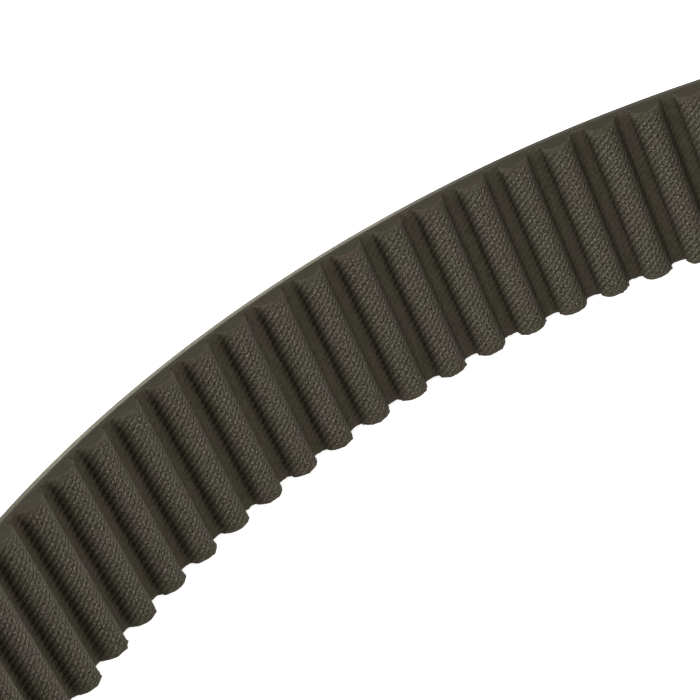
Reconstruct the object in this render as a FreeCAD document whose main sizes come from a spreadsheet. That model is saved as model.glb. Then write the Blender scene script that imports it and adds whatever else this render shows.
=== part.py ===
"""Endless synchronous belt with an 8 mm curvilinear tooth, lying in its round moulded shape.

+Z is up and is the loop's axis; the origin is the middle of the loop at the lower side edge.
The belt is cut across at the middle of some lands into links that turn about the centre line
of the tension cords, so that the endless loop can flex. Each link has three bonded pieces:
the rubber body, the fabric facing over its teeth, and the tension cords, which lie embedded
in the rubber and share their space with it.
"""
import FreeCAD, Part
import math
import os

import Sketcher
from FreeCAD import Placement, Rotation, Vector

SIZES = {
    "pitch": 8.0,               # tooth to tooth, measured along the cords
    "tooth_count": 96,
    "belt_width": 30.0,
    "belt_height": 6.0,         # back face to tooth tip
    "tooth_height": 3.38,
    "tip_radius": 2.59,
    "root_radius": 0.76,
    "cord_depth": 0.686,        # from the land between two teeth to the cords' centre line
    "facing_thickness": 0.22,
    "cord_diameter": 0.8,
    "cord_count": 18,           # windings side by side across the width
    "cord_spacing": 1.6,
    "bond_gap": 0.01,           # between the rubber and the facing bonded to it
    "link_gap": 0.05,           # from a hinge line to each of the two links that meet there
    "link_count": 16,
    "lean_angle": 7.8,          # how far a link's end faces lean back from the hinge line
    "end_margin": 0.5,          # how far the cuts between links run past the belt
}

PITCH_RADIUS = "(Sizes.tooth_count * Sizes.pitch / (2 * pi))"
LAND_RADIUS = f"({PITCH_RADIUS} - Sizes.cord_depth)"
BACK_RADIUS = f"({LAND_RADIUS} + Sizes.belt_height - Sizes.tooth_height)"
TIP_CENTRE = f"({LAND_RADIUS} - Sizes.tooth_height + Sizes.tip_radius)"
ROOT_CENTRE = f"({LAND_RADIUS} - Sizes.root_radius)"
TOOTH_ANGLE = "(360 / Sizes.tooth_count)"
LINK_ANGLE = "(360 / Sizes.link_count)"
CORD_SPAN = "((Sizes.cord_count - 1) * Sizes.cord_spacing)"
BOND_OFFSET = "(Sizes.facing_thickness + Sizes.bond_gap)"
CORD_SETBACK = "(Sizes.link_gap + Sizes.cord_diameter / 2 * tan(Sizes.lean_angle))"
CORD_GAP = f"({CORD_SETBACK} / {PITCH_RADIUS} * 180 / pi)"

START, END, CENTRE = 1, 2, 3    # a sketch element's points
ORIGIN = (-1, START)            # a sketch's own origin
AXIS_X = -1                     # a sketch's own horizontal axis

doc = FreeCAD.newDocument("TimingBelt")
sheet = doc.addObject("Spreadsheet::Sheet", "Sizes")
for row, (alias, size) in enumerate(SIZES.items(), start=1):
    sheet.set(f"A{row}", alias)
    sheet.set(f"B{row}", str(size))
    sheet.setAlias(f"B{row}", alias)
doc.recompute()


def number(expression):
    """The value that an expression over the sheet has now."""
    result = sheet.evalExpression(expression)
    return float(getattr(result, "Value", result))


def polar(radius, degrees):
    angle = math.radians(degrees)
    return Vector(radius * math.cos(angle), radius * math.sin(angle), 0)


def direction(start, end):
    """The direction from one point of a sketch to another, in degrees."""
    return math.degrees(math.atan2(end.y - start.y, end.x - start.x))


def arc(centre, radius, first, last):
    """An arc that runs anticlockwise from one direction to another, in degrees."""
    circle = Part.Circle(centre, Vector(0, 0, 1), radius)
    return Part.ArcOfCircle(circle, math.radians(first), math.radians(last))


def origin_feature(body, role):
    return next(feature for feature in body.Origin.OriginFeatures if feature.Role == role)


class BoundSketch:
    """A sketch on one of its body's origin planes, with dimensions bound to the sheet."""

    def __init__(self, body, name, plane):
        self.sketch = body.newObject("Sketcher::SketchObject", name)
        self.sketch.AttachmentSupport = [(origin_feature(body, plane), "")]
        self.sketch.MapMode = "FlatFace"

    def add(self, element, construction=False):
        return self.sketch.addGeometry(element, construction)

    def join(self, kind, *places):
        self.sketch.addConstraint(Sketcher.Constraint(kind, *places))

    def size(self, kind, *places, to):
        value = number(to)
        if kind == "Angle":
            value = math.radians(value)
        index = self.sketch.addConstraint(Sketcher.Constraint(kind, *places, value))
        self.sketch.setExpression(f"Constraints[{index}]", to)


def tooth_profile(outline, offset):
    """The belt's toothed side over one pitch, at an offset into the belt from its surface.

    Five tangent arcs about the X axis: half a land, a root fillet, the tooth's round tip,
    a root fillet and half a land. Returns the first and the last arc.
    """
    tip_radius = number(f"Sizes.tip_radius - {offset}")
    root_radius = number(f"Sizes.root_radius + {offset}")
    land_radius = number(f"{LAND_RADIUS} + {offset}")
    half_pitch = number(TOOTH_ANGLE) / 2
    tip_centre = Vector(number(TIP_CENTRE), 0, 0)
    root_centre = number(ROOT_CENTRE)
    reach = number("Sizes.tip_radius + Sizes.root_radius")
    cosine = (tip_centre.x ** 2 + root_centre ** 2 - reach ** 2) / (2 * tip_centre.x * root_centre)
    side = math.degrees(math.acos(cosine))
    lean = direction(tip_centre, polar(root_centre, side))

    land_down = outline.add(arc(Vector(), land_radius, -half_pitch, -side))
    fillet_down = outline.add(arc(polar(root_centre, -side), root_radius, -side, 180 - lean))
    tip = outline.add(arc(tip_centre, tip_radius, lean, 360 - lean))
    fillet_up = outline.add(arc(polar(root_centre, side), root_radius, lean - 180, side))
    land_up = outline.add(arc(Vector(), land_radius, side, half_pitch))

    outline.join("PointOnObject", tip, CENTRE, AXIS_X)
    outline.size("DistanceX", *ORIGIN, tip, CENTRE, to=TIP_CENTRE)
    outline.size("Radius", tip, to=f"Sizes.tip_radius - {offset}")
    outline.size("Radius", fillet_up, to=f"Sizes.root_radius + {offset}")
    outline.join("Equal", fillet_up, fillet_down)
    outline.size("Radius", land_up, to=f"{LAND_RADIUS} + {offset}")
    outline.join("Equal", land_up, land_down)
    outline.join("Coincident", land_up, CENTRE, *ORIGIN)
    outline.join("Coincident", land_down, CENTRE, *ORIGIN)
    outline.join("Tangent", land_down, END, fillet_down, START)
    outline.join("Tangent", fillet_down, END, tip, END)
    outline.join("Tangent", tip, START, fillet_up, START)
    outline.join("Tangent", fillet_up, END, land_up, START)
    return land_down, land_up


def close_pitch(outline, toothed_side, far_side):
    """Join two sides of an outline with radial lines half a pitch each way from the tooth."""
    for place, sign, near, far in ((START, "-", toothed_side[0], far_side[0]),
                                   (END, "", toothed_side[1], far_side[1])):
        corners = [outline.sketch.getPoint(side, place) for side in (near, far)]
        edge = outline.add(Part.LineSegment(*corners))
        outline.join("Coincident", edge, START, near, place)
        outline.join("Coincident", edge, END, far, place)
        outline.join("PointOnObject", *ORIGIN, edge)
        outline.size("Angle", edge, to=f"{sign}{TOOTH_ANGLE} / 2")


def rubber_outline(body):
    """One pitch of the rubber: the smooth back, and the tooth's core inside the fabric."""
    outline = BoundSketch(body, "RubberOutline", "XY_Plane")
    half_pitch = number(TOOTH_ANGLE) / 2
    back = outline.add(arc(Vector(), number(BACK_RADIUS), -half_pitch, half_pitch))
    outline.join("Coincident", back, CENTRE, *ORIGIN)
    outline.size("Radius", back, to=BACK_RADIUS)
    close_pitch(outline, tooth_profile(outline, BOND_OFFSET), (back, back))
    return outline.sketch


def facing_outline(body):
    """One pitch of the fabric, which has the same thickness all along the toothed side."""
    outline = BoundSketch(body, "FacingOutline", "XY_Plane")
    bonded_side = tooth_profile(outline, "Sizes.facing_thickness")
    close_pitch(outline, tooth_profile(outline, "0"), bonded_side)
    return outline.sketch


def end_outline(body, name, angle, lean):
    """What is cut away where two links meet: narrowest on the hinge line, wider both ways."""
    outline = BoundSketch(body, name, "XY_Plane")
    hinge_radius = number(PITCH_RADIUS)
    inner = f"({LAND_RADIUS} - Sizes.end_margin)"
    outer = f"({BACK_RADIUS} + Sizes.end_margin)"
    slope = math.tan(math.radians(number(lean)))
    across = polar(1, number(angle) + 90)
    left, right = [], []
    for radius in (number(inner), hinge_radius, number(outer)):
        half_width = number("Sizes.link_gap") + slope * abs(radius - hinge_radius)
        centre = polar(radius, number(angle))
        left.append(centre + across * half_width)
        right.append(centre - across * half_width)
    corners = right + left[::-1]
    sides = [outline.add(Part.LineSegment(corner, following))
             for corner, following in zip(corners, corners[1:] + corners[:1])]
    below, above, outer_edge, _, waist, inner_edge = sides
    hinge_line = Part.LineSegment(Vector(), polar(hinge_radius, number(angle)))
    middle = outline.add(hinge_line, construction=True)

    for side, following in zip(sides, sides[1:] + sides[:1]):
        outline.join("Coincident", side, END, following, START)
    outline.join("Coincident", middle, START, *ORIGIN)
    outline.size("Angle", middle, to=angle)
    outline.size("Distance", middle, to=PITCH_RADIUS)
    outline.join("Symmetric", outer_edge, START, outer_edge, END, middle)
    outline.join("Symmetric", inner_edge, START, inner_edge, END, middle)
    outline.join("Symmetric", below, END, waist, START, middle)
    outline.size("Distance", below, END, waist, START, to="2 * Sizes.link_gap")
    outline.size("Distance", *ORIGIN, below, END, to=PITCH_RADIUS)
    outline.size("Angle", below, to=f"{angle} + {lean}")
    outline.size("Angle", above, to=f"{angle} - {lean}")
    outline.size("Distance", *ORIGIN, below, START, to=inner)
    outline.size("Distance", *ORIGIN, above, END, to=outer)
    return outline.sketch


def cord_outline(body):
    """The section of the lowest cord, on the plane that the loop's axis lies in."""
    outline = BoundSketch(body, "CordOutline", "XZ_Plane")
    lowest = f"((Sizes.belt_width - {CORD_SPAN}) / 2)"
    centre = Vector(number(PITCH_RADIUS), number(lowest), 0)
    radius = number("Sizes.cord_diameter / 2")
    section = outline.add(Part.Circle(centre, Vector(0, 0, 1), radius))
    outline.size("DistanceX", *ORIGIN, section, CENTRE, to=PITCH_RADIUS)
    outline.size("DistanceY", *ORIGIN, section, CENTRE, to=lowest)
    outline.size("Radius", section, to="Sizes.cord_diameter / 2")
    return outline.sketch


def across_width(body, kind, name, sketch):
    """A pad or pocket from the lower side edge to the upper one."""
    feature = body.newObject(kind, name)
    feature.Profile = sketch
    feature.Length = number("Sizes.belt_width")
    feature.setExpression("Length", "Sizes.belt_width")
    feature.Reversed = kind == "PartDesign::Pocket"
    return feature


def repeat_pitches(body, original, teeth):
    pattern = body.newObject("PartDesign::PolarPattern", "Pitches")
    pattern.Originals = [original]
    pattern.Axis = (origin_feature(body, "Z_Axis"), [""])
    pattern.Occurrences = teeth
    pattern.setExpression("Angle", f"{teeth - 1} * {TOOTH_ANGLE}")
    body.Tip = pattern


def cut_ends(body, ends):
    for name, (angle, lean) in zip(("FirstEnd", "LastEnd"), ends):
        outline = end_outline(body, f"{name}Outline", angle, lean)
        body.Tip = across_width(body, "PartDesign::Pocket", name, outline)


def new_body(label, turn):
    body = doc.addObject("PartDesign::Body", label)
    body.Label = label
    body.Placement = Placement(Vector(), Rotation(Vector(0, 0, 1), turn))
    return body


def rubber(label, turn, teeth, ends):
    body = new_body(label, turn)
    pitch = across_width(body, "PartDesign::Pad", "Pitch", rubber_outline(body))
    doc.recompute()
    repeat_pitches(body, pitch, teeth)
    cut_ends(body, ends)
    return body


def facing(label, turn, teeth, ends):
    body = new_body(label, turn)
    pitch = across_width(body, "PartDesign::Pad", "Pitch", facing_outline(body))
    doc.recompute()
    repeat_pitches(body, pitch, teeth)
    cut_ends(body, ends)
    return body


def cords(label, turn, ends):
    """Level windings side by side, each ending just inside the link's end faces."""
    body = new_body(label, turn)
    (first, _), (last, _) = ends
    cord = body.newObject("PartDesign::Revolution", "Cord")
    cord.Profile = cord_outline(body)
    cord.ReferenceAxis = (origin_feature(body, "Z_Axis"), [""])
    cord.Type = "TwoAngles"
    cord.setExpression("Angle", f"{last} - {CORD_GAP}")
    cord.setExpression("Angle2", f"-({first} + {CORD_GAP})")
    doc.recompute()

    windings = body.newObject("PartDesign::LinearPattern", "Windings")
    windings.Originals = [cord]
    windings.Direction = (origin_feature(body, "Z_Axis"), [""])
    windings.Refine = False
    windings.setExpression("Length", CORD_SPAN)
    windings.setExpression("Occurrences", "Sizes.cord_count")
    body.Tip = windings
    return body


def link(index, middle, teeth, leans):
    """One link of the loop, from mid-land to mid-land, with its middle in a given direction."""
    first = f"(-0.5 * {TOOTH_ANGLE})"
    last = f"({teeth - 0.5} * {TOOTH_ANGLE})"
    turn = middle - number(f"({first} + {last}) / 2")
    ends = tuple(zip((first, last), leans))
    return [
        rubber(f"rubber_{index:02d}", turn, teeth, ends),
        facing(f"facing_{index:02d}", turn, teeth, ends),
        cords(f"cords_{index:02d}", turn, ends),
    ]


def whole_loop():
    """Full links all round, but for the one opposite the first, which is two halves."""
    link_count = int(number("Sizes.link_count"))
    link_angle = number(LINK_ANGLE)
    teeth = int(number("Sizes.tooth_count / Sizes.link_count"))
    halves = (link_count // 2, link_count // 2 + 1)
    hinge, seam = "Sizes.lean_angle", "0"
    pieces = []
    for index in range(link_count + 1):
        if index == halves[0]:
            pieces += link(index, 180 - link_angle / 4, teeth // 2, (hinge, seam))
        elif index == halves[1]:
            pieces += link(index, 180 + link_angle / 4, teeth // 2, (seam, hinge))
        else:
            turns = index if index < halves[0] else index - 1
            pieces += link(index, turns * link_angle, teeth, (hinge, hinge))
    return pieces


def check_document():
    doc.recompute()
    for item in doc.Objects:
        failed = [state for state in item.State if state in ("Invalid", "Error")]
        if failed:
            raise RuntimeError(f"{item.Name} is {failed}")


def write_parts(pieces):
    os.makedirs("parts", exist_ok=True)
    for piece in pieces:
        if piece.Shape.isNull() or not piece.Shape.isValid():
            raise RuntimeError(f"{piece.Label} has no valid shape")
    for piece in pieces:
        piece.Shape.exportStep(f"parts/{piece.Label}.step")
        volume = sum(solid.Volume for solid in piece.Shape.Solids)
        print(f"{piece.Label}: {len(piece.Shape.Solids)} solids, {volume:.1f} mm3")


belt = whole_loop()
check_document()
write_parts(belt)
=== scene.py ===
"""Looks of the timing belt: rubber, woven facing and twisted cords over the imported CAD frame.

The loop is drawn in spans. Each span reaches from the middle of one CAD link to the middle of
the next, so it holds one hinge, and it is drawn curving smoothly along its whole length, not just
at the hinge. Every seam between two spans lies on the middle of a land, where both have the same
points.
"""

import math

import bpy
from mathutils import Matrix, Vector, noise


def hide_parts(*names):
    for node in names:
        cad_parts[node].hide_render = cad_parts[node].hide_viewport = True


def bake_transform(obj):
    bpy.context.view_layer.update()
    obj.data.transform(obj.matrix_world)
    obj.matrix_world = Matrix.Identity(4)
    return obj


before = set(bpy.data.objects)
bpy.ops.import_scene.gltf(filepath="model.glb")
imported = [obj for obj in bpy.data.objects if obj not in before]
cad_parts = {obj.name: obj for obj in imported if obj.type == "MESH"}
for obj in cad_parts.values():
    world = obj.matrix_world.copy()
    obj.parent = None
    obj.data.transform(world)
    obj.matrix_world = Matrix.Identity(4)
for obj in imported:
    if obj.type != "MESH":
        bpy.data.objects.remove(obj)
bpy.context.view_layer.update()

# The belt's section, in metres, as in the CAD model.
MM = 0.001
PITCH = 8 * MM
TOOTH_COUNT = 96
WIDTH = 30 * MM
HEIGHT = 6 * MM
TOOTH_HEIGHT = 3.38 * MM
TIP_RADIUS = 2.59 * MM
ROOT_RADIUS = 0.76 * MM
CORD_DEPTH = 0.686 * MM
FACING_THICKNESS = 0.22 * MM
BOND_GAP = 0.01 * MM
CORD_RADIUS = 0.4 * MM
CORD_COUNT = 18
CORD_SPACING = 1.6 * MM
CORD_SETBACK = 0.04 * MM        # how far inside its span's ends a cord stops, so that no two touch

PITCH_RADIUS = TOOTH_COUNT * PITCH / math.tau
LAND_RADIUS = PITCH_RADIUS - CORD_DEPTH
BACK_RADIUS = LAND_RADIUS + HEIGHT - TOOTH_HEIGHT
TOOTH_TURN = math.tau / TOOTH_COUNT
SPAN_COUNT = 16
SPAN_TEETH = TOOTH_COUNT // SPAN_COUNT
SPAN_TURN = math.tau / SPAN_COUNT
ORIGIN = Vector((0, 0, 0))

# How finely the curves are drawn.
LAND_STEPS, FILLET_STEPS, TIP_STEPS = 2, 4, 18
CORNER_STEPS = 6
CORD_STEPS, CORD_SIDES = 60, 10
SHARP_ANGLE = math.radians(35)

# From here on to the camera, lengths are in millimetres, as on the belt's own coordinates.

# The rows of points across the facing: close together at its cut edges, even between them.
EDGE_ROWS = (0.0, 0.08, 0.25, 0.6)
ROW_SPACING = 1.2

# The uneven fabric: slow waves, small lumps, and cut edges that are pressed in and a little frayed.
WAVE_SIZE, WAVE_LIFT = 2.6, 0.025
LUMP_SIZE, LUMP_LIFT = 0.8, 0.06
PRESSED_REACH, PRESSED_DEPTH = 0.3, 0.09
FRAYED_REACH, FRAYED_LIFT = 0.9, 0.4

# The belt's back corners: how far in and down they are rounded off, and how strongly a light highlight
# is painted on them.
BEVEL_REACH, BEVEL_DROP = 1.85, 0.2
FLAT_RIM = 0.15                 # a strip of the side face that keeps flat beside the rounding
HIGHLIGHT_SPREAD = 0.35            # the less, the more evenly the painted highlight covers the whole rounding
# How strong the painted highlight is comes and goes slowly round the loop.
HIGHLIGHT_SEED, HIGHLIGHT_WAVES = 532.93, 1.3         # the height and radius of a circle through noise
HIGHLIGHT_MEAN, HIGHLIGHT_SWING, HIGHLIGHT_LEAST = 0.66, 2.3, 0.2

# The cords' twist.
CORD_LAY = 7.0                  # the length of one whole twist
CORD_SIDE_WIDTH = 0.25          # how wide each of a cord's sides is taken to be by its material
STRAND_COUNT = 3
STRAND_SHARE, STRAND_BUMP = 0.9, 0.08       # of the cord's radius: its middle, and its bumps

# The weave.
TWILL_SLANT = 36.0              # from the running direction, clockwise round the loop, upward
RIB_WIDTH, RIB_WOBBLE = 0.88, 0.8
YARN_WIDTH, ROW_WOBBLE = 0.52, 1.4
YARN_LENGTH, FLOAT_JITTER = 1.0, 1.2
YARN_STAGGER = 0.53             # how far each row of floats is shifted along the last, in floats
FIBRE_ALONG, FIBRE_OVER = 0.5, 1.4          # fibres are long along the yarn, and thin over it
FIBRE_SHARE, YARN_SHARE, RIB_SHARE = 0.95, 0.08, 0.085

# The sizes of noise, in waves per millimetre.
WOBBLE_SCALE, JITTER_SCALE = 0.9, 1.3
FIBRE_SCALE, STREAK_SCALE, FACING_PATCH_SCALE = 5.0, 2.2, 0.15
RUBBER_STREAK_SCALE, GRAIN_SCALE, BREAKUP_SCALE, RUBBER_PATCH_SCALE = 3.0, 4.0, 1.2, 0.12
FILAMENT_SCALE = 6.0

# The facing's colours, from the cleanest to the darkest and the most worn; the third is shade painted
# into the roots.
FACING_OLIVE = (0.067, 0.0605, 0.0385, 1)
FACING_BROWN = (0.074, 0.0580, 0.0445, 1)
# Painted shade for the roots of the teeth, where less light falls.
FACING_ROOT_SHADE = (0.011, 0.0094, 0.0056, 1)
FACING_GAP = (0.008, 0.0068, 0.0042, 1)
FACING_SPECK = (0.255, 0.236, 0.197, 1)
FACING_SHEEN = (1.0, 0.93, 0.78, 1)

# Fades of the facing: a value's first and last, and what it turns into at each (0 and 1 if unsaid).
PATCH_FADE = (0.45, 0.62)                   # olive to brown
GROUND_FADE = (0.35, 0.65, 0.30, 0.0)       # blotches darker than the clean colour
OPEN_FADE = (0.60, 0.45)                    # the weave's low places, which are dark gaps
OPEN_CREST_FADE = (0.02, 0.35, 0.25, 1.0)   # there are fewer of them on the lands
OPEN_EDGE_FADE = (0.0, 1.5, 0.2, 1.0)       # and at the cut edges
SPECK_FADE = (0.585, 0.765)                 # the weave's high places, which are worn light
WORN_CREST_FADE = (0.72, 1.16, 0.10, 1.0)   # most of all on the tooth tips
WORN_EDGE_FADE = (1.0, 2.8, 0.15, 1.0)      # and less at the cut edges
ROOT_SHADE_FADE = (0.93, 1.37, 1.0, 0.25)       # the painted shade of a root, broken up by the ribs
ROOT_SHADE_EDGE_FADE = (0.2, 2.5, 0.4, 1.0)
NAP_FADE = (0.0, 0.9, 0.09, 0.015)          # the sheen, less in the roots
WORN_RIBS, WORN_STREAKS = 0.30, 2.0         # how much the ribs and streaks fray the worn places
ROOT_SHADE_RIBS, ROOT_SHADE_STREAKS = 0.7, 1.4

ROOT_INSET = 0.15               # how far short of the fillet's end the painted shade of a root is darkest
ROOT_TO_LAND = 0.80             # how far the painted shade of a root spreads over the land
ROOT_TO_FLANK = 1.75            # and up the tooth's flank

RUBBER_OLIVE = (0.030, 0.0270, 0.0150, 1)
RUBBER_BROWN = (0.034, 0.0280, 0.0175, 1)
RUBBER_STREAK = (0.045, 0.040, 0.028, 1)
# A light colour painted on the rounded back corners as a highlight.
RUBBER_EDGE_HIGHLIGHT = (0.262, 0.244, 0.196, 1)

# Fades of the rubber, as above.
RUBBER_PATCH_FADE = (0.38, 0.62)
STREAK_FADE = (0.45, 0.75, 0.0, 0.5)
HIGHLIGHT_BREAKUP_FADE = (0.35, 0.58, 0.30, 1.0)
GLOSS_FADE = (0.3, 0.7, 0.65, 0.8)

CORD_S_COLOUR = (0.58, 0.55, 0.46)
CORD_Z_COLOUR = (0.50, 0.47, 0.40)
CORD_SHADE = 0.6                # the darkest filaments, as a share of the colour

WHITE = (1.0, 1.0, 0.995, 1)
FLOOR_COLOUR = (0.85, 0.85, 0.84, 1)
FLOOR_GLOW = (1.0, 1.0, 0.99, 1)
FLOOR_GLOW_STRENGTH = 0.75

# The view: from in front of the loop and above it, over its near side at the inside of its far
# part, leaning to one side.
CAMERA_PLACE = Vector((-30.57, -216.53, 177.71)) * MM
CAMERA_TURN = math.radians(0.618)
CAMERA_DOWN = math.radians(26.30)
CAMERA_LEAN = math.radians(25.69)
CAMERA_LENS = 112.8


def polar(radius, turn, height=0.0):
    return Vector((radius * math.cos(turn), radius * math.sin(turn), height))


def arc_points(centre, radius, first, last, steps):
    """Points on an arc, without its last one, which starts the next stretch."""
    return [centre + polar(radius, first + (last - first) * step / steps) for step in range(steps)]


def toothed_pitch(offset):
    """One pitch of the toothed side about the X axis, at an offset into the belt, as points.

    Half a land, a root fillet, the round tip, a root fillet and half a land. The last point
    is left out, because the next pitch starts with it.
    """
    tip_distance = LAND_RADIUS - TOOTH_HEIGHT + TIP_RADIUS
    root_distance = LAND_RADIUS - ROOT_RADIUS
    reach = TIP_RADIUS + ROOT_RADIUS
    cosine = (tip_distance ** 2 + root_distance ** 2 - reach ** 2) / (2 * tip_distance * root_distance)
    side = math.acos(cosine)
    tip_centre = polar(tip_distance, 0)
    lower, upper = polar(root_distance, -side), polar(root_distance, side)
    lean = math.atan2(upper.y, upper.x - tip_distance)
    land, root, tip = LAND_RADIUS + offset, ROOT_RADIUS + offset, TIP_RADIUS - offset
    points = arc_points(ORIGIN, land, -TOOTH_TURN / 2, -side, LAND_STEPS)
    points += arc_points(lower, root, -side, math.pi - lean, FILLET_STEPS)
    points += arc_points(tip_centre, tip, math.tau - lean, lean, TIP_STEPS)
    points += arc_points(upper, root, lean - math.pi, side, FILLET_STEPS)
    points += arc_points(ORIGIN, land, side, TOOTH_TURN / 2, LAND_STEPS)
    return points


def toothed_span(span, offset):
    """A span's toothed side as points, both ends included."""
    pitch = toothed_pitch(offset)
    points = []
    for tooth in range(SPAN_TEETH):
        turn = Matrix.Rotation(span * SPAN_TURN + (tooth + 0.5) * TOOTH_TURN, 3, "Z")
        points += [turn @ point for point in pitch]
    points.append(polar(LAND_RADIUS + offset, (span + 1) * SPAN_TURN))
    return points


def lengths_along(points, start):
    """How far along the line each point is, in metres, counted on from the start."""
    lengths = [start]
    for point, following in zip(points, points[1:]):
        lengths.append(lengths[-1] + (following - point).length)
    return lengths


def build_mesh(name, vertices, faces, face_uvs, material, shades=None):
    """A mesh piece. shades holds a list of one number per vertex for each named attribute."""
    mesh = bpy.data.meshes.new(name)
    mesh.from_pydata(vertices, [], faces)
    layer = mesh.uv_layers.new(name="Belt")
    flat = [value for corners in face_uvs for corner in corners for value in corner]
    layer.data.foreach_set("uv", flat)
    rest = mesh.attributes.new("rest", "FLOAT_VECTOR", "POINT")
    rest.data.foreach_set("vector", [value / MM for vertex in vertices for value in vertex])
    for shade, values in (shades or {}).items():
        attribute = mesh.attributes.new(shade, "FLOAT", "POINT")
        attribute.data.foreach_set("value", values)
    mesh.validate()
    mesh.shade_smooth()
    mesh.set_sharp_from_angle(angle=SHARP_ANGLE)
    mesh.materials.append(material)
    piece = bpy.data.objects.new(name, mesh)
    bpy.context.scene.collection.objects.link(piece)
    return piece


def tube_of_sections(name, sections, uvs, material, shades=None):
    """A closed mesh through closed sections of equal length, with a cap on each end.

    uvs holds one pair per section point and one more per section, where the loop closes.
    """
    size = len(sections[0])
    vertices = [point for section in sections for point in section]
    faces, face_uvs = [], []
    for row in range(len(sections) - 1):
        for column in range(size):
            following = (column + 1) % size
            faces.append((row * size + column, row * size + following,
                          (row + 1) * size + following, (row + 1) * size + column))
            face_uvs.append((uvs[row][column], uvs[row][column + 1],
                             uvs[row + 1][column + 1], uvs[row + 1][column]))
    last = (len(sections) - 1) * size
    faces.append(tuple(reversed(range(size))))
    face_uvs.append(tuple(uvs[0][column] for column in reversed(range(size))))
    faces.append(tuple(range(last, last + size)))
    face_uvs.append(tuple(uvs[-1][:size]))
    return build_mesh(name, vertices, faces, face_uvs, material, shades)


# Materials

class Shader:
    """A Principled material whose colour and relief are worked out by nodes."""

    def __init__(self, name):
        self.material = bpy.data.materials.new(name)
        self.material.use_nodes = True
        self.tree = self.material.node_tree
        self.surface = self.tree.nodes["Principled BSDF"]

    def node(self, kind, **settings):
        made = self.tree.nodes.new(kind)
        for key, value in settings.items():
            setattr(made, key, value)
        return made

    def feed(self, socket, value):
        if isinstance(value, bpy.types.NodeSocket):
            self.tree.links.new(value, socket)
        else:
            socket.default_value = value

    def math(self, operation, *values, clamp=False):
        made = self.node("ShaderNodeMath", operation=operation, use_clamp=clamp)
        for socket, value in zip(made.inputs, values):
            self.feed(socket, value)
        return made.outputs[0]

    def mix(self, share, first, second):
        made = self.node("ShaderNodeMix", data_type="RGBA")
        self.feed(made.inputs["Factor"], share)
        self.feed(made.inputs["A"], first)
        self.feed(made.inputs["B"], second)
        return made.outputs["Result"]

    def fade(self, value, low, high, to_low=0.0, to_high=1.0):
        made = self.node("ShaderNodeMapRange", clamp=True)
        for socket, number in zip(made.inputs, (value, low, high, to_low, to_high)):
            self.feed(socket, number)
        return made.outputs[0]

    def sum(self, *terms):
        """The sum of values, each times its factor."""
        total = None
        for value, factor in terms:
            scaled = self.math("MULTIPLY", value, factor)
            total = scaled if total is None else self.math("ADD", total, scaled)
        return total

    def wave(self, value):
        """A single hump from each whole number to the next."""
        return self.math("SINE", self.math("MULTIPLY", self.math("FRACT", value), math.pi))

    def attribute(self, name):
        return self.node("ShaderNodeAttribute", attribute_name=name).outputs["Fac"]

    def noise(self, vector, scale, detail=2.0, roughness=0.5):
        made = self.node("ShaderNodeTexNoise")
        self.feed(made.inputs["Vector"], vector)
        self.feed(made.inputs["Scale"], scale)
        self.feed(made.inputs["Detail"], detail)
        self.feed(made.inputs["Roughness"], roughness)
        return made.outputs["Fac"]

    def combine(self, *values):
        made = self.node("ShaderNodeCombineXYZ")
        for socket, value in zip(made.inputs, values):
            self.feed(socket, value)
        return made.outputs[0]

    def place(self):
        """The point on the belt: along it and across it, in millimetres."""
        uv = self.node("ShaderNodeUVMap", uv_map="Belt")
        split = self.node("ShaderNodeSeparateXYZ")
        self.feed(split.inputs[0], uv.outputs[0])
        return split.outputs[0], split.outputs[1]

    def rest(self, stretch=(1, 1, 1)):
        """The point's place on the unbent belt, in millimetres, the same on both sides of a seam."""
        scaled = self.node("ShaderNodeVectorMath", operation="MULTIPLY")
        source = self.node("ShaderNodeAttribute", attribute_name="rest")
        self.feed(scaled.inputs[0], source.outputs["Vector"])
        self.feed(scaled.inputs[1], stretch)
        return scaled.outputs[0]

    def relief(self, height, depth, strength=1.0):
        bump = self.node("ShaderNodeBump")
        self.feed(bump.inputs["Height"], height)
        self.feed(bump.inputs["Distance"], depth)
        self.feed(bump.inputs["Strength"], strength)
        self.feed(self.surface.inputs["Normal"], bump.outputs[0])

    def finish(self, colour, roughness, specular):
        self.feed(self.surface.inputs["Base Color"], colour)
        self.feed(self.surface.inputs["Roughness"], roughness)
        self.feed(self.surface.inputs["Specular IOR Level"], specular)
        return self.material


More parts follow.
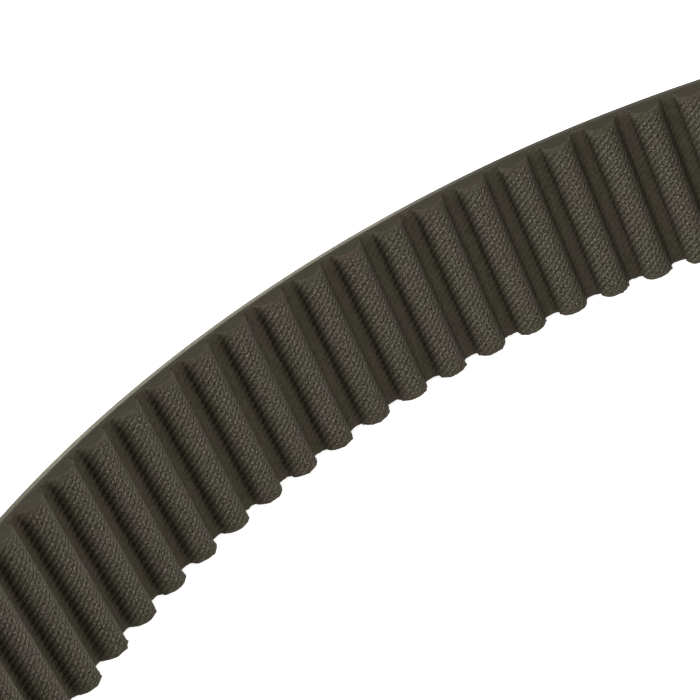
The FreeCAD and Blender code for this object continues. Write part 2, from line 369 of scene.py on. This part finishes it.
def facing_material():
    """Twill-woven nylon: slanting ribs of short yarn floats, worn lighter on the tooth tips, with shade
    painted into the roots.
    """
    shader = Shader("facing_twill")
    along, across = shader.place()
    crest = shader.attribute("crest")
    # How much shade is painted into the root at each point.
    root = shader.attribute("root")
    to_edge = shader.math("MINIMUM", across, shader.math("SUBTRACT", WIDTH / MM, across))

    slant = math.radians(180 - TWILL_SLANT)
    with_yarn = shader.sum((along, math.cos(slant)), (across, math.sin(slant)))
    over_yarn = shader.sum((across, math.cos(slant)), (along, -math.sin(slant)))
    wobble = shader.noise(shader.combine(along, across, 0.0), WOBBLE_SCALE, detail=3.0)
    jitter = shader.noise(shader.rest(), JITTER_SCALE, detail=3.0)
    row_place = shader.sum((over_yarn, 1 / YARN_WIDTH), (wobble, ROW_WOBBLE))
    row = shader.math("FLOOR", row_place)
    float_place = shader.sum((with_yarn, 1 / YARN_LENGTH), (row, YARN_STAGGER), (jitter, FLOAT_JITTER))
    yarn = shader.math("MULTIPLY", shader.wave(row_place), shader.wave(float_place))
    stretched = shader.combine(shader.math("MULTIPLY", with_yarn, FIBRE_ALONG),
                               shader.math("MULTIPLY", over_yarn, FIBRE_OVER), 0.0)
    fibres = shader.noise(stretched, FIBRE_SCALE, detail=3.0, roughness=0.8)
    streaks = shader.noise(stretched, STREAK_SCALE, detail=3.0)
    rib = shader.wave(shader.sum((over_yarn, 1 / RIB_WIDTH), (wobble, RIB_WOBBLE)))
    texture = shader.sum((fibres, FIBRE_SHARE), (yarn, YARN_SHARE), (rib, RIB_SHARE))

    patches = shader.fade(shader.noise(shader.rest(), FACING_PATCH_SCALE), *PATCH_FADE)
    clean = shader.mix(patches, FACING_OLIVE, FACING_BROWN)
    ground = shader.mix(shader.fade(jitter, *GROUND_FADE), clean, FACING_GAP)

    visible = shader.math("MULTIPLY", shader.fade(crest, *OPEN_CREST_FADE),
                          shader.fade(to_edge, *OPEN_EDGE_FADE))
    open_weave = shader.math("MULTIPLY", shader.fade(texture, *OPEN_FADE), visible)
    dark = shader.mix(open_weave, ground, FACING_GAP)

    ribbed_crest = shader.sum((crest, 1.0), (rib, WORN_RIBS))
    frayed = shader.sum((to_edge, 1.0), (streaks, WORN_STREAKS))
    worn = shader.math("MULTIPLY", shader.fade(ribbed_crest, *WORN_CREST_FADE),
                       shader.fade(frayed, *WORN_EDGE_FADE))
    speck = shader.math("MULTIPLY", shader.fade(texture, *SPECK_FADE), worn)
    woven = shader.mix(speck, dark, FACING_SPECK)

    # Shade painted into the roots, broken up by the ribs and streaks, and weaker at the cut edges.
    root_shade_breakup = shader.sum((rib, ROOT_SHADE_RIBS), (streaks, ROOT_SHADE_STREAKS))
    root_shade_strength = shader.math("MULTIPLY", shader.fade(root_shade_breakup, *ROOT_SHADE_FADE),
                             shader.fade(to_edge, *ROOT_SHADE_EDGE_FADE))
    colour = shader.mix(shader.math("MULTIPLY", root, root_shade_strength), woven, FACING_ROOT_SHADE)

    shader.relief(shader.math("MULTIPLY", texture, worn), depth=0.07 * MM, strength=0.8)
    shader.feed(shader.surface.inputs["Sheen Weight"], shader.fade(root, *NAP_FADE))
    shader.feed(shader.surface.inputs["Sheen Roughness"], 0.4)
    shader.feed(shader.surface.inputs["Sheen Tint"], FACING_SHEEN)
    return shader.finish(colour, roughness=0.85, specular=0.12)


def rubber_material():
    """Dark vulcanised rubber with faint streaks along the belt, and a light highlight painted on the
    back corners.
    """
    shader = Shader("rubber_body")
    streaks = shader.noise(shader.rest((0.15, 0.15, 1)), RUBBER_STREAK_SCALE, detail=4.0)
    grain = shader.noise(shader.rest(), GRAIN_SCALE, detail=3.0)
    breakup_noise = shader.noise(shader.rest((1, 1, 3)), BREAKUP_SCALE, detail=4.0, roughness=0.7)

    patches = shader.fade(shader.noise(shader.rest(), RUBBER_PATCH_SCALE, detail=1.0),
                          *RUBBER_PATCH_FADE)
    ground = shader.mix(patches, RUBBER_OLIVE, RUBBER_BROWN)
    streaked = shader.mix(shader.fade(streaks, *STREAK_FADE), ground, RUBBER_STREAK)
    # A highlight painted on the rounded back corners, broken up by grain and noise.
    highlight_breakup = shader.fade(shader.sum((grain, 0.5), (breakup_noise, 0.5)), *HIGHLIGHT_BREAKUP_FADE)
    painted_highlight = shader.math("MULTIPLY", shader.attribute("corner"), highlight_breakup)
    colour = shader.mix(painted_highlight, streaked, RUBBER_EDGE_HIGHLIGHT)

    shader.relief(shader.sum((streaks, 0.6), (grain, 0.4)), depth=0.05 * MM, strength=0.7)
    return shader.finish(colour, roughness=shader.fade(grain, *GLOSS_FADE), specular=0.12)


def cord_material(name, colour):
    """Treated glass-fibre cord, with fine filaments along its twist."""
    shader = Shader(name)
    along, around = shader.place()
    drawn_out = shader.combine(shader.math("MULTIPLY", along, 0.4), around, 0.0)
    filaments = shader.noise(drawn_out, FILAMENT_SCALE)
    darkest = [channel * CORD_SHADE for channel in colour]
    shade = shader.mix(filaments, (*darkest, 1), (*colour, 1))
    shader.relief(filaments, depth=0.03 * MM, strength=0.6)
    return shader.finish(shade, roughness=0.45, specular=0.4)


# The pieces of one span

def facing_rows():
    """Heights across the width: close together at the two cut edges, even between them."""
    width = WIDTH / MM
    inner = [ROW_SPACING * step for step in range(1, round(width / ROW_SPACING))]
    rows = [*EDGE_ROWS, *inner, *[width - height for height in reversed(EDGE_ROWS)]]
    return [height * MM for height in rows]


def facing_inset(spot, height):
    """How far the fabric lies behind its even surface: uneven yarns, and pressed, frayed edges."""
    place = Vector((spot.x, spot.y, height))
    waves = noise.noise(place / (WAVE_SIZE * MM))
    lumps = noise.noise(place / (LUMP_SIZE * MM))
    to_edge = min(height, WIDTH - height)
    pressed = max(0.0, 1 - to_edge / (PRESSED_REACH * MM)) ** 2
    frayed = max(0.0, 1 - to_edge / (FRAYED_REACH * MM)) * max(0.0, lumps)
    return MM * (PRESSED_DEPTH * pressed - WAVE_LIFT * waves - LUMP_LIFT * lumps - FRAYED_LIFT * frayed)


def flank_start():
    """How far along the surface from the middle of a land the painted root shade is darkest: a little
    short of where the tooth's flank starts.
    """
    return lengths_along(toothed_pitch(0.0), 0.0)[LAND_STEPS + FILLET_STEPS] - ROOT_INSET * MM


def painted_root_shade(from_land):
    """How strongly shade is painted on the root at a distance from the middle of the nearest land."""
    past = (from_land - flank_start()) / MM
    reach = ROOT_TO_FLANK if past > 0 else ROOT_TO_LAND
    return math.exp(-(past / reach) ** 2)


def make_facing(span, material):
    exposed = toothed_span(span, 0.0)
    bonded = toothed_span(span, FACING_THICKNESS)
    span_length = lengths_along(toothed_span(0, 0.0), 0.0)[-1]
    along = lengths_along(exposed, span * span_length)
    rows = facing_rows()
    sections, uvs = [], []
    shades = {"crest": [], "root": []}
    pitch_length = span_length / SPAN_TEETH
    for outer, inner, length in zip(exposed, bonded, along):
        into_belt = (inner - outer).normalized()
        share = (LAND_RADIUS - outer.length) / TOOTH_HEIGHT
        in_pitch = length % pitch_length
        # How much shade is painted into this point's root.
        root_shade_share = painted_root_shade(min(in_pitch, pitch_length - in_pitch))
        section, pairs = [], []
        for height in rows:
            spot = outer + into_belt * facing_inset(outer, height)
            section.append(Vector((spot.x, spot.y, height)))
            pairs.append((length / MM, height / MM))
        for height, past_edge in ((WIDTH, 0.2), (0.0, -0.2)):
            section.append(Vector((inner.x, inner.y, height)))
            pairs.append((length / MM, height / MM + past_edge))
        pairs.append(pairs[0])
        sections.append(section)
        uvs.append(pairs)
        shades["crest"] += [share] * len(section)
        shades["root"] += [root_shade_share] * len(section)
    return tube_of_sections(f"facing_span_{span:02d}", sections, uvs, material, shades)


def back_corner():
    """The rounded back corner, from the side face round to the back.

    Each point has a radius, a height from the side face, and how much of the painted highlight it has.
    """
    points = []
    for step in range(CORNER_STEPS + 1):
        turn = math.pi / 2 * step / CORNER_STEPS
        radius = BACK_RADIUS - BEVEL_REACH * MM * (1 - math.sin(turn))
        height = BEVEL_DROP * MM * (1 - math.cos(turn))
        points.append((radius, height, math.sin(math.pi * step / CORNER_STEPS) ** HIGHLIGHT_SPREAD))
    return points


def highlight_strength_at(turn):
    """How strong the painted highlight on the back corners is at a place round the loop: it comes and
    goes slowly.
    """
    wave = noise.noise(polar(HIGHLIGHT_WAVES, turn, HIGHLIGHT_SEED))
    return min(1.0, max(HIGHLIGHT_LEAST, HIGHLIGHT_MEAN + HIGHLIGHT_SWING * wave))


def make_rubber(span, material):
    bonded = toothed_span(span, FACING_THICKNESS + BOND_GAP)
    middle = (span + 0.5) * SPAN_TURN
    facing_side = PITCH_RADIUS - 0.1 * MM
    flat_edge = BACK_RADIUS - (BEVEL_REACH + FLAT_RIM) * MM
    side = [(facing_side, 0.0, 0.0), (flat_edge, 0.0, 0.0)] + back_corner()
    outline = [(radius, WIDTH - height) for radius, height, _ in side]
    outline += [(radius, height) for radius, height, _ in reversed(side)]
    painted_highlight = [share for _, _, share in side]
    sections, uvs, corner = [], [], []
    for point in bonded:
        turned = Matrix.Rotation(-middle, 3, "Z") @ point
        turn = middle + math.atan2(turned.y, turned.x)
        section = [Vector((point.x, point.y, height)) for height in (0, WIDTH)]
        section += [polar(radius, turn, height) for radius, height in outline]
        length = turn * PITCH_RADIUS / MM
        girths = lengths_along(section + section[:1], 0.0)
        pairs = [(length, girth / MM) for girth in girths]
        sections.append(section)
        uvs.append(pairs)
        # How strong the painted highlight is here.
        highlight_strength = highlight_strength_at(turn)
        corner += [0.0, 0.0] + [share * highlight_strength for share in painted_highlight + painted_highlight[::-1]]
    return tube_of_sections(f"rubber_span_{span:02d}", sections, uvs, material, {"corner": corner})


def twisted_section(turn, height, twist):
    """A cord's section: a round bundle of strands, turned by the twist."""
    points = []
    for side in range(CORD_SIDES):
        angle = math.tau * side / CORD_SIDES
        bump = CORD_RADIUS * STRAND_BUMP * math.cos(STRAND_COUNT * (angle + twist))
        radius = CORD_RADIUS * STRAND_SHARE + bump
        points.append(polar(PITCH_RADIUS + radius * math.cos(angle), turn,
                            height - radius * math.sin(angle)))
    return points


def make_cords(span, name, first_winding, hand, material):
    """Every other winding over one span, each a closed twisted rod."""
    steps, sides = CORD_STEPS, CORD_SIDES
    setback = CORD_SETBACK / PITCH_RADIUS
    first_turn, whole_turn = span * SPAN_TURN + setback, SPAN_TURN - 2 * setback
    lowest = (WIDTH - (CORD_COUNT - 1) * CORD_SPACING) / 2
    vertices, faces, face_uvs = [], [], []
    for winding in range(first_winding, CORD_COUNT, 2):
        start = len(vertices)
        height = lowest + winding * CORD_SPACING
        for step in range(steps + 1):
            turn = first_turn + whole_turn * step / steps
            twist = hand * math.tau * turn * PITCH_RADIUS / (CORD_LAY * MM)
            vertices += twisted_section(turn, height, twist)
        for step in range(steps):
            low, high = start + step * sides, start + (step + 1) * sides
            place = [(span + (step + more) / steps) * SPAN_TURN * PITCH_RADIUS / MM for more in (0, 1)]
            for side in range(sides):
                following = (side + 1) % sides
                faces.append((low + side, low + following, high + following, high + side))
                girth = [more * CORD_SIDE_WIDTH for more in (side, side + 1)]
                face_uvs.append(((place[0], girth[0]), (place[0], girth[1]),
                                 (place[1], girth[1]), (place[1], girth[0])))
        for ring in (tuple(reversed(range(start, start + sides))),
                     tuple(range(start + steps * sides, start + (steps + 1) * sides))):
            faces.append(ring)
            face_uvs.append(tuple((0.0, 0.0) for _ in ring))
    return build_mesh(f"{name}_span_{span:02d}", vertices, faces, face_uvs, material)


def link_names(span):
    """The two CAD links that a span joins. The link opposite the first one is in two halves."""
    half = SPAN_COUNT // 2
    if span < half:
        return span, span + 1
    return span + 1, (span + 2) % (SPAN_COUNT + 1)


def join_span(piece, span, kind):
    """Fix the piece in place, and let it stand for the CAD pieces of its links."""
    links = link_names(span)
    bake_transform(piece)
    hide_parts(*[f"{kind}_{link:02d}" for link in links])


def make_belt():
    facing_look, rubber_look = facing_material(), rubber_material()
    cord_s_look = cord_material("cord_s", CORD_S_COLOUR)
    cord_z_look = cord_material("cord_z", CORD_Z_COLOUR)
    for span in range(SPAN_COUNT):
        made = (
            (make_rubber(span, rubber_look), "rubber", "rubber_body"),
            (make_facing(span, facing_look), "facing", "tooth_facing"),
            (make_cords(span, "cord_s", 0, 1, cord_s_look), "cords", "tension_cord"),
            (make_cords(span, "cord_z", 1, -1, cord_z_look), "cords", "tension_cord"),
        )
        for piece, kind, slot in made:
            join_span(piece, span, kind)


# Surroundings

def make_floor():
    """A pale lit table, bright enough to leave no shadow."""
    mesh = bpy.data.meshes.new("floor")
    reach = 4.0
    corners = [(-reach, -reach, 0), (reach, -reach, 0), (reach, reach, 0), (-reach, reach, 0)]
    mesh.from_pydata(corners, [], [(0, 1, 2, 3)])
    shader = Shader("floor_white")
    shader.feed(shader.surface.inputs["Emission Color"], FLOOR_GLOW)
    shader.feed(shader.surface.inputs["Emission Strength"], FLOOR_GLOW_STRENGTH)
    mesh.materials.append(shader.finish(FLOOR_COLOUR, roughness=0.9, specular=0.0))
    floor = bpy.data.objects.new("floor", mesh)
    floor.location.z = -0.02 * MM
    bpy.context.scene.collection.objects.link(floor)


def make_area_light(name, place, target, size, power):
    data = bpy.data.lights.new(name, "AREA")
    data.shape = "DISK"
    data.size = size
    data.energy = power
    light = bpy.data.objects.new(name, data)
    light.location = place
    light.rotation_mode = "QUATERNION"
    light.rotation_quaternion = (Vector(target) - Vector(place)).to_track_quat("-Z", "Y")
    bpy.context.scene.collection.objects.link(light)


def make_lights():
    world = bpy.data.worlds.new("studio")
    world.use_nodes = True
    background = world.node_tree.nodes["Background"]
    background.inputs["Color"].default_value = WHITE
    background.inputs["Strength"].default_value = 1.0
    bpy.context.scene.world = world
    middle = (0, 0.05, 0.015)
    make_area_light("key", place=(-0.70, -0.25, 0.50), target=middle, size=0.6, power=2)
    make_area_light("rim", place=(-0.9, 0.55, 0.30), target=middle, size=0.4, power=5)


def make_camera():
    turn = Matrix.Rotation(CAMERA_TURN, 3, "Z")
    forward = turn @ Vector((0, math.cos(CAMERA_DOWN), -math.sin(CAMERA_DOWN)))
    level = turn @ Vector((1, 0, 0))
    upright = level.cross(forward)
    across = level * math.cos(CAMERA_LEAN) - upright * math.sin(CAMERA_LEAN)
    up = level * math.sin(CAMERA_LEAN) + upright * math.cos(CAMERA_LEAN)
    data = bpy.data.cameras.new("camera")
    data.lens = CAMERA_LENS
    data.clip_start = 0.01
    camera = bpy.data.objects.new("camera", data)
    basis = Matrix((across, up, -forward)).transposed().to_4x4()
    camera.matrix_world = Matrix.Translation(CAMERA_PLACE) @ basis
    bpy.context.scene.collection.objects.link(camera)
    bpy.context.scene.camera = camera


make_belt()
make_floor()
make_lights()
make_camera()
bpy.context.scene.view_settings.view_transform = "Standard"
